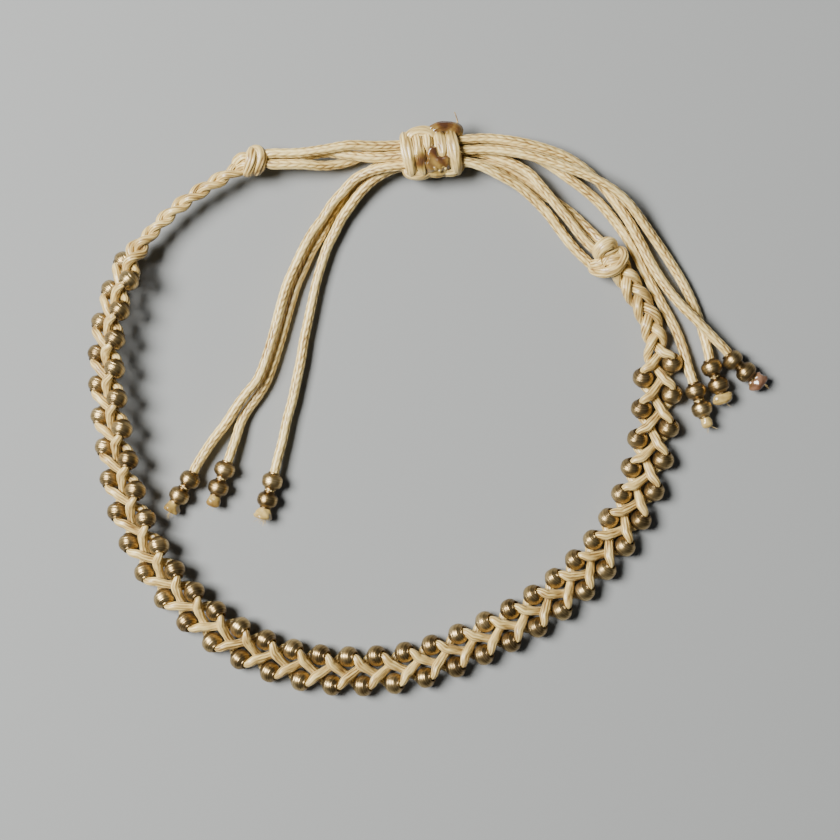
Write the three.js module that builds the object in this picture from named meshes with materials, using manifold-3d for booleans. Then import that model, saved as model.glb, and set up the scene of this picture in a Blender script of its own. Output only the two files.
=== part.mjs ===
// Macrame bracelet: a three-strand plait of waxed cord with a brass bead at every edge turn, an overhand
// knot at each end of the plait, and six loose cords that run through one sliding knot to beaded tails.
// Millimetres, +Z up. The bracelet lies on the plane Z = 0; +Y points from the plait to the sliding knot.

import * as THREE from "three";
import { mergeVertices } from "three/addons/utils/BufferGeometryUtils.js";
import Module from "manifold-3d";

const wasm = await Module();
wasm.setup();

// ---- Driving dimensions ------------------------------------------------------------------------

const CORD_DIAMETER = 0.95;
const CORD_SIDES = 8;
const STRAND_SIDES = 6;
const SECTION_TURN = 0.42; // share of a side by which a strand's sections are turned about its length
const CORD_STEP = 2.8; // length of one straight step along a loose cord

const BEAD_DIAMETER = 2.0;
const BEAD_LENGTH = 1.7;
const BEAD_COLLAR = 1.1; // diameter of the bead's ends, at its hole
const STRAND_WIDTH = 0.78; // a plaited strand, drawn flat between its neighbours
const STRAND_THICKNESS = 0.7;

const BEAD_REACH = 1.39; // from the plait's centreline to the middle of a bead
const BEADED_REACH = 1.02; // from the plait's centreline to a strand at its edge, inside its bead
const PLAIN_REACH = 0.75;
const TIGHT_SHARE = 0.66; // size of the plain plait at the left knot, where it is pulled tight, against the rest
const RISE = 0.5; // height of a strand above the plait's middle plane where it crosses over

const STRANDS = 3;
const LAST_BEAD_TURN = 34; // 35 outer beads, at turns 0 to 34, with 34 inner beads halfway between them
const TURNS_PER_STRETCH = 3; // one whole repeat of the plait
const HALF_GAP_TURNS = 0.04; // half of the gap between two stretches, about 0.3 mm in all

// The plait's centreline, one row for every second turn of its outer edge, from the left knot to the
// right one. z is the height of the middle plane, lean is how far the inner edge is raised, in degrees.
const PLAIT = [
  { x: -11.4, y: 23.9, z: 2.4, lean: 45 },
  { x: -15.0, y: 21.9, z: 2.4, lean: 45 },
  { x: -18.5, y: 19.7, z: 2.35, lean: 45 },
  { x: -21.5, y: 17.0, z: 2.3, lean: 54 },
  { x: -23.9, y: 13.7, z: 2.26, lean: 57 },
  { x: -25.8, y: 8.1, z: 2.13, lean: 50 },
  { x: -26.0, y: 2.4, z: 2.07, lean: 47 },
  { x: -25.25, y: -3.4, z: 1.94, lean: 40 },
  { x: -24.0, y: -9.3, z: 1.73, lean: 30 },
  { x: -21.5, y: -14.7, z: 1.55, lean: 22 },
  { x: -17.7, y: -19.1, z: 1.39, lean: 16 },
  { x: -12.9, y: -22.4, z: 1.24, lean: 10 },
  { x: -7.5, y: -24.3, z: 1.13, lean: 5 },
  { x: -1.9, y: -24.75, z: 1.02, lean: 0 },
  { x: 3.7, y: -24.0, z: 1.02, lean: 0 },
  { x: 9.0, y: -21.9, z: 1.02, lean: 0 },
  { x: 13.9, y: -19.4, z: 1.02, lean: 0 },
  { x: 18.2, y: -16.1, z: 1.02, lean: 0 },
  { x: 21.8, y: -12.1, z: 1.02, lean: 0 },
  { x: 24.4, y: -7.2, z: 1.02, lean: 0 },
  { x: 25.7, y: -1.5, z: 1.02, lean: 0 },
  { x: 26.0, y: 4.4, z: 1.02, lean: 0 },
  { x: 25.3, y: 8.4, z: 1.04, lean: 0 },
  { x: 23.3, y: 12.0, z: 1.2, lean: 0 },
  { x: 21.2, y: 15.2, z: 1.5, lean: 0 },
];
const TURNS_PER_ROW = 2;
const FIRST_BEAD_ROW = 4;
const LEFT_END_TURN = -6.88;
const RIGHT_END_TURN = 38.75;

// Both overhand knots. heading is the direction from the plait to the loose cords, in degrees from +X.
// Each wrap is a ring of cord round the knot's core: its place along the heading, radius and slant.
const OVERHAND_KNOTS = [
  {
    name: "overhand_knot_left", x: -11.95, y: 23.42, z: 2.3, heading: 8, core: 0.82, length: 1.9,
    wraps: [
      { along: -0.48, radius: 0.86, slant: -15 },
      { along: 0.38, radius: 0.86, slant: -8 },
    ],
  },
  {
    name: "overhand_knot_right", x: 21.5, y: 14.6, z: 1.55, heading: 128, core: 1.0, length: 2.3,
    wraps: [
      { along: -0.55, radius: 1.06, slant: -26 },
      { along: 0.35, radius: 1.06, slant: -14 },
      { along: 0.75, radius: 0.85, slant: 24 },
    ],
  },
];

// The sliding knot: wraps round the six cords, with a bight of cord on its sides between wraps.
const SLIDE = { x: 4.5, y: 24.15, z: 1.92, heading: 5, length: 5.5, wraps: 5 };
const SLIDE_BORE = { width: 3.2, height: 2.16, corner: 0.42 };
const SLIDE_WALL = 0.84;
const SLIDE_CORNER = 1.1;
const SLIDE_GROOVE = 0.3; // depth of the valley between two wraps
const BIGHT_ROOT_HEIGHT = 0.15; // heights of a bight above the knot's middle, where it leaves the knot
const BIGHT_BEND_HEIGHT = 0.3; // and where it turns back
const SLIDE_BIGHTS = [
  { side: 1, along: -0.9, length: 1.9, reach: 2.45 },
  { side: 1, along: 1.35, length: 2.1, reach: 2.72 },
  { side: -1, along: -1.3, length: 1.9, reach: 2.45 },
  { side: -1, along: 0.5, length: 1.3, reach: 2.3 },
  { side: -1, along: 1.9, length: 1.3, reach: 2.3 },
];

// The six loose cords, each from its overhand knot through the sliding knot to its tail's first bead.
const LOOSE_CORDS = {
  left_cord_1: [
    [-10.4, 24.1, 2.75], [-9.2, 24.1, 2.8], [-7.7, 24.15, 2.85], [-5.4, 24.45, 3.0], [-3.1, 24.82, 2.98],
    [-0.8, 24.8, 2.62], [1.6, 24.9, 2.45], [4.45, 25.15, 2.45], [7.25, 25.4, 2.45], [9.6, 25.55, 2.45],
    [11.9, 25.35, 2.4], [13.8, 25.0, 2.2], [15.7, 24.5, 1.9], [17.2, 23.95, 1.6], [18.6, 23.15, 1.3],
    [19.9, 22.1, 1.2], [21.1, 20.8, 1.2], [22.1, 19.5, 1.2], [23.1, 18.1, 1.25], [24.4, 15.8, 1.2],
    [25.3, 14.0, 1.2], [26.6, 11.9, 1.3], [28.1, 10.0, 1.5], [29.7, 8.4, 1.6], [31.1, 7.0, 1.4],
    [32.5, 5.6, 1.15],
  ],
  left_cord_2: [
    [-10.4, 23.7, 1.6], [-9.2, 23.7, 1.6], [-7.7, 23.85, 1.6], [-5.4, 24.25, 2.0], [-3.1, 23.97, 2.3],
    [-0.8, 23.75, 2.4], [1.6, 23.9, 2.45], [4.45, 24.15, 2.45], [7.25, 24.4, 2.45], [9.6, 24.5, 2.45],
    [11.9, 24.3, 2.5], [13.8, 23.95, 2.5], [15.7, 23.4, 2.5], [17.2, 22.85, 2.5], [18.6, 22.35, 2.4],
    [20.4, 21.5, 2.35], [21.9, 20.6, 2.15], [23.3, 19.4, 1.75], [25.3, 16.8, 1.1], [27.2, 14.1, 0.6],
    [28.6, 11.8, 0.5], [29.7, 9.4, 0.5], [30.3, 7.6, 0.5], [30.7, 6.1, 0.7], [30.9, 5.1, 0.95],
  ],
  left_cord_3: [
    [-10.4, 23.1, 2.5], [-9.2, 23.1, 2.5], [-7.7, 23.1, 2.4], [-5.4, 23.05, 1.75], [-3.1, 23.55, 1.15],
    [-0.8, 24.65, 1.4], [1.6, 24.95, 1.45], [4.45, 25.15, 1.45], [7.25, 25.4, 1.45], [9.2, 25.35, 1.45],
    [11.1, 25.0, 1.4], [12.9, 24.5, 1.4], [14.8, 23.7, 1.4], [16.3, 22.8, 1.35], [17.7, 21.8, 1.3],
    [18.7, 21.1, 1.2], [20.5, 19.6, 0.9], [22.4, 17.4, 0.5], [23.8, 15.2, 0.5], [24.95, 12.9, 0.5],
    [26.3, 10.4, 0.5], [27.7, 7.8, 0.5], [28.5, 5.7, 0.5], [29.0, 3.8, 0.8], [29.3, 2.9, 1.0],
  ],
  right_cord_1: [
    [19.72, 13.78, 1.25], [19.05, 14.35, 1.2], [18.35, 15.05, 1.1], [17.6, 15.9, 1.1], [16.7, 17.1, 1.1],
    [15.8, 18.3, 1.2], [14.8, 19.4, 1.3], [12.9, 21.05, 1.7], [11.0, 22.1, 2.1], [9.1, 23.0, 2.45],
    [7.2, 23.42, 2.45], [4.45, 23.15, 2.45], [1.6, 22.95, 2.47], [0.2, 22.8, 2.36], [-1.4, 22.4, 2.1],
    [-2.6, 21.8, 1.85], [-3.8, 20.6, 1.65], [-4.8, 19.5, 1.5], [-5.7, 18.1, 1.4], [-6.6, 16.9, 1.4],
    [-7.5, 15.3, 1.4], [-8.2, 13.8, 1.4], [-9.0, 12.0, 1.4], [-9.5, 10.4, 1.4], [-10.8, 5.7, 1.4],
    [-11.9, 2.85, 1.4], [-12.9, 1.6, 1.35], [-13.8, 0.4, 1.2], [-14.9, -1.3, 1.0], [-16.2, -3.0, 1.0],
    [-17.5, -5.0, 1.0], [-17.85, -5.65, 1.05],
  ],
  right_cord_2: [
    [19.6, 15.5, 1.6], [18.6, 16.6, 1.55], [17.7, 17.8, 1.55], [16.7, 19.0, 1.55], [15.8, 20.1, 1.6],
    [14.8, 21.3, 1.6], [13.9, 22.3, 1.55], [12.9, 22.95, 1.5], [11.7, 23.5, 1.45], [9.2, 24.3, 1.45],
    [7.25, 24.4, 1.45], [4.45, 24.15, 1.45], [1.6, 23.93, 1.45], [0.2, 23.48, 1.14], [-1.2, 22.7, 0.8],
    [-2.5, 21.65, 0.55], [-3.45, 20.6, 0.5], [-4.35, 19.3, 0.5], [-5.2, 18.0, 0.5], [-5.9, 16.6, 0.5],
    [-6.8, 15.1, 0.5], [-7.5, 13.5, 0.5], [-8.2, 11.9, 0.5], [-8.7, 10.3, 0.5], [-10.1, 5.5, 0.5],
    [-11.1, 2.7, 0.5], [-12.0, 1.2, 0.5], [-12.8, 0.1, 0.5], [-13.45, -1.1, 0.6], [-13.9, -2.5, 0.8],
    [-14.4, -4.0, 1.0], [-14.6, -4.6, 1.05],
  ],
  right_cord_3: [
    [20.25, 16.3, 1.0], [19.4, 17.2, 0.7], [18.1, 18.5, 0.5], [17.2, 19.2, 0.5], [16.3, 19.8, 0.5],
    [15.3, 20.4, 0.5], [14.4, 21.1, 0.5], [12.9, 22.0, 0.6], [11.1, 22.9, 0.9], [9.2, 23.25, 1.35],
    [7.2, 23.41, 1.45], [4.45, 23.13, 1.45], [1.6, 22.93, 1.45], [0.2, 22.42, 1.44], [-1.1, 21.6, 1.3],
    [-2.3, 20.4, 1.1], [-3.15, 19.25, 0.95], [-3.95, 18.1, 0.85], [-4.6, 16.8, 0.8], [-5.3, 15.4, 0.8],
    [-5.8, 13.9, 0.8], [-6.3, 12.2, 0.8], [-6.7, 10.4, 0.8], [-7.1, 8.5, 0.8], [-7.5, 6.6, 0.8],
    [-7.8, 4.7, 0.8], [-8.2, 2.8, 0.8], [-8.6, 0.9, 0.8], [-9.1, -0.9, 0.85], [-9.5, -2.8, 0.9],
    [-10.0, -4.7, 1.0], [-10.2, -5.6, 1.05],
  ],
};

// Two beads and the melted tip that end each tail, at the height of a bead that rests on Z = 0.
const TAIL_ENDS = [
  { name: "tail_end_right_1", first: [33.15, 4.73], second: [34.4, 3.6], tip: [35.65, 2.55] },
  { name: "tail_end_right_2", first: [31.15, 4.0], second: [31.8, 2.35], tip: [32.25, 0.95] },
  { name: "tail_end_right_3", first: [29.65, 1.8], second: [30.2, 0.1], tip: [30.7, -1.3] },
  { name: "tail_end_left_1", first: [-18.3, -6.6], second: [-19.3, -8.1], tip: [-20.0, -9.35] },
  { name: "tail_end_left_2", first: [-15.0, -5.65], second: [-15.6, -7.35], tip: [-16.1, -8.8] },
  { name: "tail_end_left_3", first: [-10.5, -6.75], second: [-10.95, -8.5], tip: [-11.35, -10.0] },
];
const TAIL_TIP_DIAMETER = 1.3;

const CORD_FINISH = { color: 0xe6cf9c, roughness: 0.5, metalness: 0 };
const BRASS_FINISH = { color: 0x8a6a3c, roughness: 0.35, metalness: 1 };
const TIP_FINISH = { color: 0x9a7434, roughness: 0.4, metalness: 0.4 };

// ---- Solids ------------------------------------------------------------------------------------

const AXIS_UP = new THREE.Vector3(0, 0, 1);

function solidOf(geometry) {
  const bare = geometry.clone();
  bare.deleteAttribute("normal");
  bare.deleteAttribute("uv");
  const merged = mergeVertices(bare);
  return new wasm.Manifold(new wasm.Mesh({
    numProp: 3,
    vertProperties: new Float32Array(merged.attributes.position.array),
    triVerts: new Uint32Array(merged.index.array),
  }));
}

function geometryOf(solid) {
  const mesh = solid.getMesh();
  const geometry = new THREE.BufferGeometry();
  geometry.setAttribute("position", new THREE.BufferAttribute(mesh.vertProperties, 3));
  geometry.setIndex(new THREE.BufferAttribute(mesh.triVerts, 1));
  geometry.computeVertexNormals();
  return geometry;
}

function joined(geometries) {
  return geometries.map(solidOf).reduce((whole, piece) => whole.add(piece));
}

function vectors(points) {
  return points.map((point) => new THREE.Vector3(...point));
}

function polygon(diameter, sides) {
  const corners = [];
  for (let i = 0; i < sides; i += 1) {
    const angle = (2 * Math.PI * i) / sides;
    corners.push(new THREE.Vector2(Math.cos(angle), Math.sin(angle)).multiplyScalar(diameter / 2));
  }
  return new THREE.Shape(corners);
}

function tube(curve, diameter, sides, steps) {
  return new THREE.ExtrudeGeometry(polygon(diameter, sides), { steps, extrudePath: curve });
}

function lathe(profile, sides) {
  return new THREE.LatheGeometry(profile.map(([radius, height]) => new THREE.Vector2(radius, height)), sides);
}

// A closed solid through a row of rings, each a list of as many corners.
function loft(rings) {
  const sides = rings[0].length;
  const faces = [];
  for (let row = 0; row < rings.length - 1; row += 1) {
    for (let i = 0; i < sides; i += 1) {
      const here = row * sides + i;
      const beside = row * sides + ((i + 1) % sides);
      faces.push(here, here + sides, beside);
      faces.push(beside, here + sides, beside + sides);
    }
  }
  const last = (rings.length - 1) * sides;
  for (let i = 1; i < sides - 1; i += 1) {
    faces.push(0, i, i + 1);
    faces.push(last, last + i + 1, last + i);
  }
  const geometry = new THREE.BufferGeometry().setFromPoints(rings.flat());
  geometry.setIndex(faces);
  return geometry;
}

// The ring of a section: a polygon square to its direction, with a corner towards its through vector.
function sectionRing({ centre, along, through, width, thickness }) {
  const across = new THREE.Vector3().crossVectors(along, through).normalize();
  const up = new THREE.Vector3().crossVectors(across, along).normalize();
  const corners = [];
  for (let i = 0; i < STRAND_SIDES; i += 1) {
    const angle = (2 * Math.PI * (i + SECTION_TURN)) / STRAND_SIDES;
    corners.push(centre.clone()
      .addScaledVector(across, (width / 2) * Math.cos(angle))
      .addScaledVector(up, (thickness / 2) * Math.sin(angle)));
  }
  return corners;
}

// Sections of a bead on its cord: place along the hole and diameter.
const BEAD_SECTIONS = [
  { place: -BEAD_LENGTH / 2, diameter: BEAD_COLLAR },
  { place: -BEAD_LENGTH / 5, diameter: BEAD_DIAMETER },
  { place: BEAD_LENGTH / 4, diameter: BEAD_DIAMETER },
  { place: BEAD_LENGTH / 2, diameter: BEAD_COLLAR },
];

function roundSections(sections, centre, direction, through) {
  const along = direction.clone().normalize();
  return sections.map(({ place, diameter }) => ({
    centre: centre.clone().addScaledVector(along, place),
    along,
    through,
    width: diameter,
    thickness: diameter,
  }));
}

// ---- The plait ---------------------------------------------------------------------------------

const plaitCurve = new THREE.CatmullRomCurve3(
  PLAIT.map((row) => new THREE.Vector3(row.x, row.y, row.z)), false, "catmullrom",
);
const leanCurve = new THREE.CatmullRomCurve3(
  PLAIT.map((row) => new THREE.Vector3(row.lean, 0, 0)), false, "catmullrom",
);

// A turn is the place of one turn of the outer edge: turn 0 holds the first outer bead, turn 0.5 the
// first inner one. The frame there has the centreline, the outward direction across the plait, and
// the direction through its thickness.
function plaitFrame(turn) {
  const share = (FIRST_BEAD_ROW + turn / TURNS_PER_ROW) / (PLAIT.length - 1);
  const centre = plaitCurve.getPoint(share);
  const along = plaitCurve.getTangent(share);
  const level = new THREE.Vector3().crossVectors(along, AXIS_UP).normalize();
  const upright = new THREE.Vector3().crossVectors(level, along);
  const lean = THREE.MathUtils.degToRad(leanCurve.getPoint(share).x);
  const outward = level.clone().multiplyScalar(Math.cos(lean)).addScaledVector(upright, -Math.sin(lean));
  const through = level.clone().multiplyScalar(Math.sin(lean)).addScaledVector(upright, Math.cos(lean));
  return { centre, along, outward, through };
}

function beadedShare(turn) {
  const rising = THREE.MathUtils.smoothstep(turn, -0.7, -0.1);
  const falling = THREE.MathUtils.smoothstep(turn, LAST_BEAD_TURN + 0.1, LAST_BEAD_TURN + 0.7);
  return rising - falling;
}

// The size of the plait's section at a turn, against the size of a loose one.
function tightness(turn) {
  return THREE.MathUtils.lerp(TIGHT_SHARE, 1, THREE.MathUtils.smoothstep(turn, -1.8, -0.4));
}

function strandPoint(turn, strand) {
  const frame = plaitFrame(turn);
  const phase = (2 * Math.PI * (turn - strand)) / STRANDS;
  const reach = THREE.MathUtils.lerp(PLAIN_REACH, BEADED_REACH, beadedShare(turn));
  return frame.centre
    .addScaledVector(frame.outward, tightness(turn) * reach * Math.cos(phase))
    .addScaledVector(frame.through, tightness(turn) * RISE * Math.sin(2 * phase));
}

function strandDirection(turn, strand) {
  return strandPoint(turn + 0.05, strand).sub(strandPoint(turn - 0.05, strand)).normalize();
}

function strandSection(turn, strand) {
  return {
    centre: strandPoint(turn, strand),
    along: strandDirection(turn, strand),
    through: plaitFrame(turn).through,
    width: tightness(turn) * STRAND_WIDTH,
    thickness: tightness(turn) * STRAND_THICKNESS,
  };
}

const HALF_REPEAT = STRANDS / 2; // turns from a strand's place at one edge to its next at the other
const BEADED_PLACES = [0.75]; // sections of a strand after each edge, in turns
const PLAIN_PLACES = [0.375, 1.125];
const CLOSEST_SECTION = 0.05;

// A strand is at one edge or the other on every half repeat, and carries a bead there from the first
// bead to the last.
function strandPiece(strand, start, end) {
  const sections = [strandSection(start, strand)];
  const firstEdge = strand + HALF_REPEAT * Math.floor((start - strand) / HALF_REPEAT);
  for (let edge = firstEdge; edge < end; edge += HALF_REPEAT) {
    const hasBead = edge >= 0 && edge <= LAST_BEAD_TURN;
    if (hasBead && edge > start) {
      const { outward, through } = plaitFrame(edge);
      const side = Math.cos((2 * Math.PI * (edge - strand)) / STRANDS);
      const centre = strandPoint(edge, strand).addScaledVector(outward, side * (BEAD_REACH - BEADED_REACH));
      sections.push(...roundSections(BEAD_SECTIONS, centre, strandDirection(edge, strand), through));
    }
    for (const place of hasBead ? BEADED_PLACES : PLAIN_PLACES) {
      if (edge + place > start + CLOSEST_SECTION && edge + place < end - CLOSEST_SECTION) {
        sections.push(strandSection(edge + place, strand));
      }
    }
  }
  sections.push(strandSection(end, strand));
  return loft(sections.map(sectionRing));
}

// Where a strand is cut at the boundary between two stretches, by the turns from its last edge to the
// boundary: clear of both beads next to it, and of the crossings, which stay whole in one stretch.
const CUT_BEFORE_BOUNDARY = { 0: 0.36, 0.5: 0.14, 1: 0.23 };

function cutTurn(strand, boundary) {
  return boundary - CUT_BEFORE_BOUNDARY[THREE.MathUtils.euclideanModulo(boundary - strand, HALF_REPEAT)];
}

function stretch(startBoundary, endBoundary) {
  const strands = [];
  for (let strand = 0; strand < STRANDS; strand += 1) {
    const start = startBoundary === null ? LEFT_END_TURN : cutTurn(strand, startBoundary) + HALF_GAP_TURNS;
    const end = endBoundary === null ? RIGHT_END_TURN : cutTurn(strand, endBoundary) - HALF_GAP_TURNS;
    strands.push(strandPiece(strand, start, end));
  }
  return geometryOf(joined(strands));
}

// ---- Knots -------------------------------------------------------------------------------------

function ring(radius, along, slant) {
  const wrap = new THREE.TorusGeometry(radius, CORD_DIAMETER / 2, STRAND_SIDES, 9);
  wrap.rotateY(Math.PI / 2);
  wrap.rotateZ(THREE.MathUtils.degToRad(slant));
  return wrap.translate(along, 0, 0);
}

function overhandKnot(knot) {
  const half = knot.length / 2;
  const shoulder = knot.core * 0.75;
  const profile = [[0, -half], [shoulder, -half], [knot.core, 0], [shoulder, half], [0, half]];
  const core = lathe(profile, CORD_SIDES).rotateZ(-Math.PI / 2);
  const wraps = knot.wraps.map((wrap) => ring(wrap.radius, wrap.along, wrap.slant));
  return geometryOf(joined([core, ...wraps]));
}

function roundedRectangle(path, width, height, corner) {
  const x = width / 2;
  const y = height / 2;
  path.moveTo(-x + corner, -y);
  path.lineTo(x - corner, -y);
  path.absarc(x - corner, -y + corner, corner, -Math.PI / 2, 0, false);
  path.lineTo(x, y - corner);
  path.absarc(x - corner, y - corner, corner, 0, Math.PI / 2, false);
  path.lineTo(-x + corner, y);
  path.absarc(-x + corner, y - corner, corner, Math.PI / 2, Math.PI, false);
  path.lineTo(-x, -y + corner);
  path.absarc(-x + corner, -y + corner, corner, Math.PI, Math.PI * 1.5, false);
  return path;
}

// The outsides of the wraps: full in the middle of each, drawn in between them.
function slideWraps() {
  const pitch = SLIDE.length / SLIDE.wraps;
  const rings = [];
  const outline = (along, inset) => {
    const width = SLIDE_BORE.width + 2 * (SLIDE_WALL - inset);
    const height = SLIDE_BORE.height + 2 * (SLIDE_WALL - inset);
    const shape = roundedRectangle(new THREE.Shape(), width, height, SLIDE_CORNER - inset);
    rings.push(cornersOf(shape).map((point) => new THREE.Vector3(point.x, point.y, along)));
  };
  outline(-SLIDE.length / 2, SLIDE_GROOVE);
  for (let i = 0; i < SLIDE.wraps; i += 1) {
    outline((i + 0.5) * pitch - SLIDE.length / 2, 0);
    outline((i + 1) * pitch - SLIDE.length / 2, SLIDE_GROOVE);
  }
  return solidOf(loft(rings));
}

// The outline's corners, clockwise as loft wants them, without doubled ones.
function cornersOf(shape) {
  const points = shape.getPoints(2).reverse();
  return points.filter((point, i) => point.distanceTo(points[(i + 1) % points.length]) > 0.01);
}

function slideBight(bight) {
  const half = bight.length / 2;
  const inner = SLIDE_BORE.width / 2 + SLIDE_WALL / 2;
  const outer = bight.reach - CORD_DIAMETER / 2;
  const route = new THREE.CatmullRomCurve3([
    new THREE.Vector3(bight.side * inner, BIGHT_ROOT_HEIGHT, bight.along - half),
    new THREE.Vector3(bight.side * outer, BIGHT_BEND_HEIGHT, bight.along - half / 2),
    new THREE.Vector3(bight.side * outer, BIGHT_BEND_HEIGHT, bight.along + half / 2),
    new THREE.Vector3(bight.side * inner, BIGHT_ROOT_HEIGHT, bight.along + half),
  ]);
  return solidOf(tube(route, CORD_DIAMETER, STRAND_SIDES, 3));
}

// Made standing on end, then laid down along +X with its bights to the sides.
function slidingKnot() {
  let knot = slideWraps();
  for (const bight of SLIDE_BIGHTS) {
    knot = knot.add(slideBight(bight));
  }
  const bore = roundedRectangle(new THREE.Shape(), SLIDE_BORE.width, SLIDE_BORE.height, SLIDE_BORE.corner);
  const depth = SLIDE.length + 4;
  const cutter = new THREE.ExtrudeGeometry(bore, { depth, curveSegments: 2, bevelEnabled: false });
  knot = knot.subtract(solidOf(cutter.translate(0, 0, -depth / 2)));
  return geometryOf(knot).applyMatrix4(new THREE.Matrix4().makeBasis(
    new THREE.Vector3(0, 1, 0), new THREE.Vector3(0, 0, 1), new THREE.Vector3(1, 0, 0),
  ));
}

// ---- Loose cords and tails ---------------------------------------------------------------------

function looseCord(route) {
  const curve = new THREE.CatmullRomCurve3(vectors(route));
  return tube(curve, CORD_DIAMETER, CORD_SIDES, Math.round(curve.getLength() / CORD_STEP));
}

// Sections of the melted tip, from where it leaves the second bead.
const TIP_SECTIONS = [
  { place: -0.45, diameter: 1.0 },
  { place: 0, diameter: TAIL_TIP_DIAMETER },
  { place: 0.45, diameter: 0.9 },
];

function tailEnd(end) {
  const [first, second, tip] = [end.first, end.second, end.tip].map(
    ([x, y]) => new THREE.Vector3(x, y, BEAD_DIAMETER / 2),
  );
  const sections = [
    ...roundSections(BEAD_SECTIONS, first, second.clone().sub(first), AXIS_UP),
    ...roundSections(BEAD_SECTIONS, second, tip.clone().sub(first), AXIS_UP),
    ...roundSections(TIP_SECTIONS, tip, tip.clone().sub(second), AXIS_UP),
  ];
  return loft(sections.map(sectionRing));
}

// ---- Assembly ----------------------------------------------------------------------------------

const bracelet = new THREE.Group();

function addPiece(name, geometry, finish) {
  const piece = new THREE.Mesh(geometry, new THREE.MeshStandardMaterial(finish));
  piece.name = name;
  bracelet.add(piece);
  return piece;
}

function place(piece, { x, y, z, heading }) {
  piece.position.set(x, y, z);
  piece.rotation.z = THREE.MathUtils.degToRad(heading);
}

const LAST_BOUNDARY = LAST_BEAD_TURN + 0.5;
addPiece("plain_braid_left", stretch(null, 0), CORD_FINISH);
for (let start = 0, index = 1; start < LAST_BOUNDARY; start += TURNS_PER_STRETCH, index += 1) {
  const end = Math.min(start + TURNS_PER_STRETCH, LAST_BOUNDARY);
  addPiece(`beaded_braid_${String(index).padStart(2, "0")}`, stretch(start, end), BRASS_FINISH);
}
addPiece("plain_braid_right", stretch(LAST_BOUNDARY, null), CORD_FINISH);

for (const knot of OVERHAND_KNOTS) {
  place(addPiece(knot.name, overhandKnot(knot), CORD_FINISH), knot);
}

place(addPiece("sliding_knot", slidingKnot(), CORD_FINISH), SLIDE);

for (const [name, route] of Object.entries(LOOSE_CORDS)) {
  addPiece(name, looseCord(route), CORD_FINISH);
}

for (const end of TAIL_ENDS) {
  addPiece(end.name, tailEnd(end), TIP_FINISH);
}

export default bracelet;
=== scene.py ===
import math

import bpy
import numpy as np
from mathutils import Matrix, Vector


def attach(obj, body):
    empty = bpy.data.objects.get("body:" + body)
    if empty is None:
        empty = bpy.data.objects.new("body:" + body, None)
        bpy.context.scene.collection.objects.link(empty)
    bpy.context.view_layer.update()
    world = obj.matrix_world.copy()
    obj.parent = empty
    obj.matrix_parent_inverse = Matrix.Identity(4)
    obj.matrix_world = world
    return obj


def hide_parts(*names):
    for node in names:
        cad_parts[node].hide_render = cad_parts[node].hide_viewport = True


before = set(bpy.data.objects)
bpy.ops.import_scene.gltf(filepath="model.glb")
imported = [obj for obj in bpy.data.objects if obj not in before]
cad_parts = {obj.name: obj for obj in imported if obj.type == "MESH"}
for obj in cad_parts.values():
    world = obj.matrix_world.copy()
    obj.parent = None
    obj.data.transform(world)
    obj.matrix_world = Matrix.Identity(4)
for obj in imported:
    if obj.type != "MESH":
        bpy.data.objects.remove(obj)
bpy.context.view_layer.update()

MM = 0.001
UPWARD = (0.0, 0.0, 1.0)
chance = np.random.default_rng(27)

# ---- Sizes of the bracelet, in millimetres -----------------------------------------------------

CORD = 0.95
CORD_RADIUS = CORD / 2 * 0.97  # its stitches stand a little prouder than this
CORD_STEP = 0.1

BEAD_LENGTH = 1.7
BEAD_RADIUS = 1.0
BEAD_BODY_END = 0.7
COLLAR_START = 0.735
COLLAR_RADIUS = 0.56
HOLE_RADIUS = 0.42
HOLE_DEPTH = 0.45
EDGE_ROUNDING = 0.03
BEAD_SIDES = 30
BEAD_SKIN_RUN = 2.8
DENT_DEPTH = 0.05
BEAD_WOBBLE = 0.09

# Reach is how far out from the middle of the plait: the middle of a bead, a strand in its bead, and a strand
# where there are no beads. Rise is how far a strand lifts over another.
BEAD_REACH = 1.39
BEADED_REACH = 1.02
PLAIN_REACH = 0.75
RISE = 0.5
# At the left knot the plait is pulled tight: shares of the reach and of a strand's size that are left there,
# and the turns over which it opens.
TIGHT_REACH = 0.57
TIGHT_STRAND = 0.76
TIGHT_OPENS = (-1.8, -0.4)
# Half a strand's size where a bead holds it, how much it grows to a leaf in width and in thickness, how much
# of the width goes where it dives, and how much fuller the leaf is where there are no beads.
STRAND_HALF = 0.33
LEAF_WIDENS = 0.12
LEAF_THICKENS = 0.05
DIVE_NARROWS = 0.06
PLAIN_FULLNESS = 1.55
STRAND_TILT = 72  # degrees that a strand's flat side leans to each side as it crosses the plait
# Turns past a bead's middle over which its strand stops running straight, opens to a leaf, and dives.
BEAD_LETS_GO = (0.2, 0.46)
LEAF_OPENS = (0.22, 0.42)
STRAND_DIVES = (0.56, 0.75)

# A turn is the step from one outer bead to the next, and turn 0 is the first outer bead. The strands take the
# outer edge by turns, and each comes to the inner edge half its round later.
STRANDS = 3
HALF_ROUND = STRANDS / 2
LAST_BEAD_TURN = 34
FIRST_BEAD_ROW = 4
TURNS_PER_ROW = 2
STRAND_START = -7.5
STRAND_END = 39.15
STRAND_STEP = 0.034

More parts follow.
